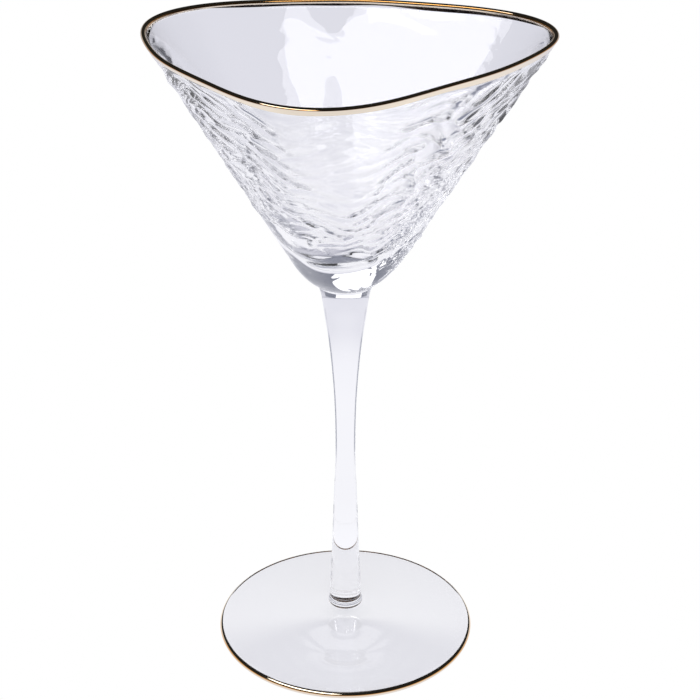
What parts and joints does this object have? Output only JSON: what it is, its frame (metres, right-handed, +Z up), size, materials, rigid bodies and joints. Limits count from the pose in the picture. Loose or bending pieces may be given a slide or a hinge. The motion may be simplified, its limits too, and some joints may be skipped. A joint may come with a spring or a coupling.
{
  "type": "martini glass",
  "caption": "Stemmed cocktail glass with a hammered, softly three-cornered conical bowl, drawn stem, round foot and gilt lip and foot edge.",
  "frame": {"origin": "on the table, at the centre of the foot's flat underside, on the stem's axis", "axes": "+Z up along the stem towards the mouth; -Y faces front, where one soft corner of the bowl points; +X to the right"},
  "size_m": [0.1172, 0.1047, 0.1912],
  "materials": {
    "glass_clear": "polished clear",
    "glass_hammered": "polished, hammered outside, smooth inside",
    "gold_band": "mirror gilt"
  },
  "bodies": {
    "root": {"foot": "glass_clear", "foot_rim_gold": "gold_band", "foot_button": "glass_clear", "stem": "glass_clear", "bowl": "glass_hammered", "bowl_rim_gold": "gold_band"}
  },
  "joints": []
}
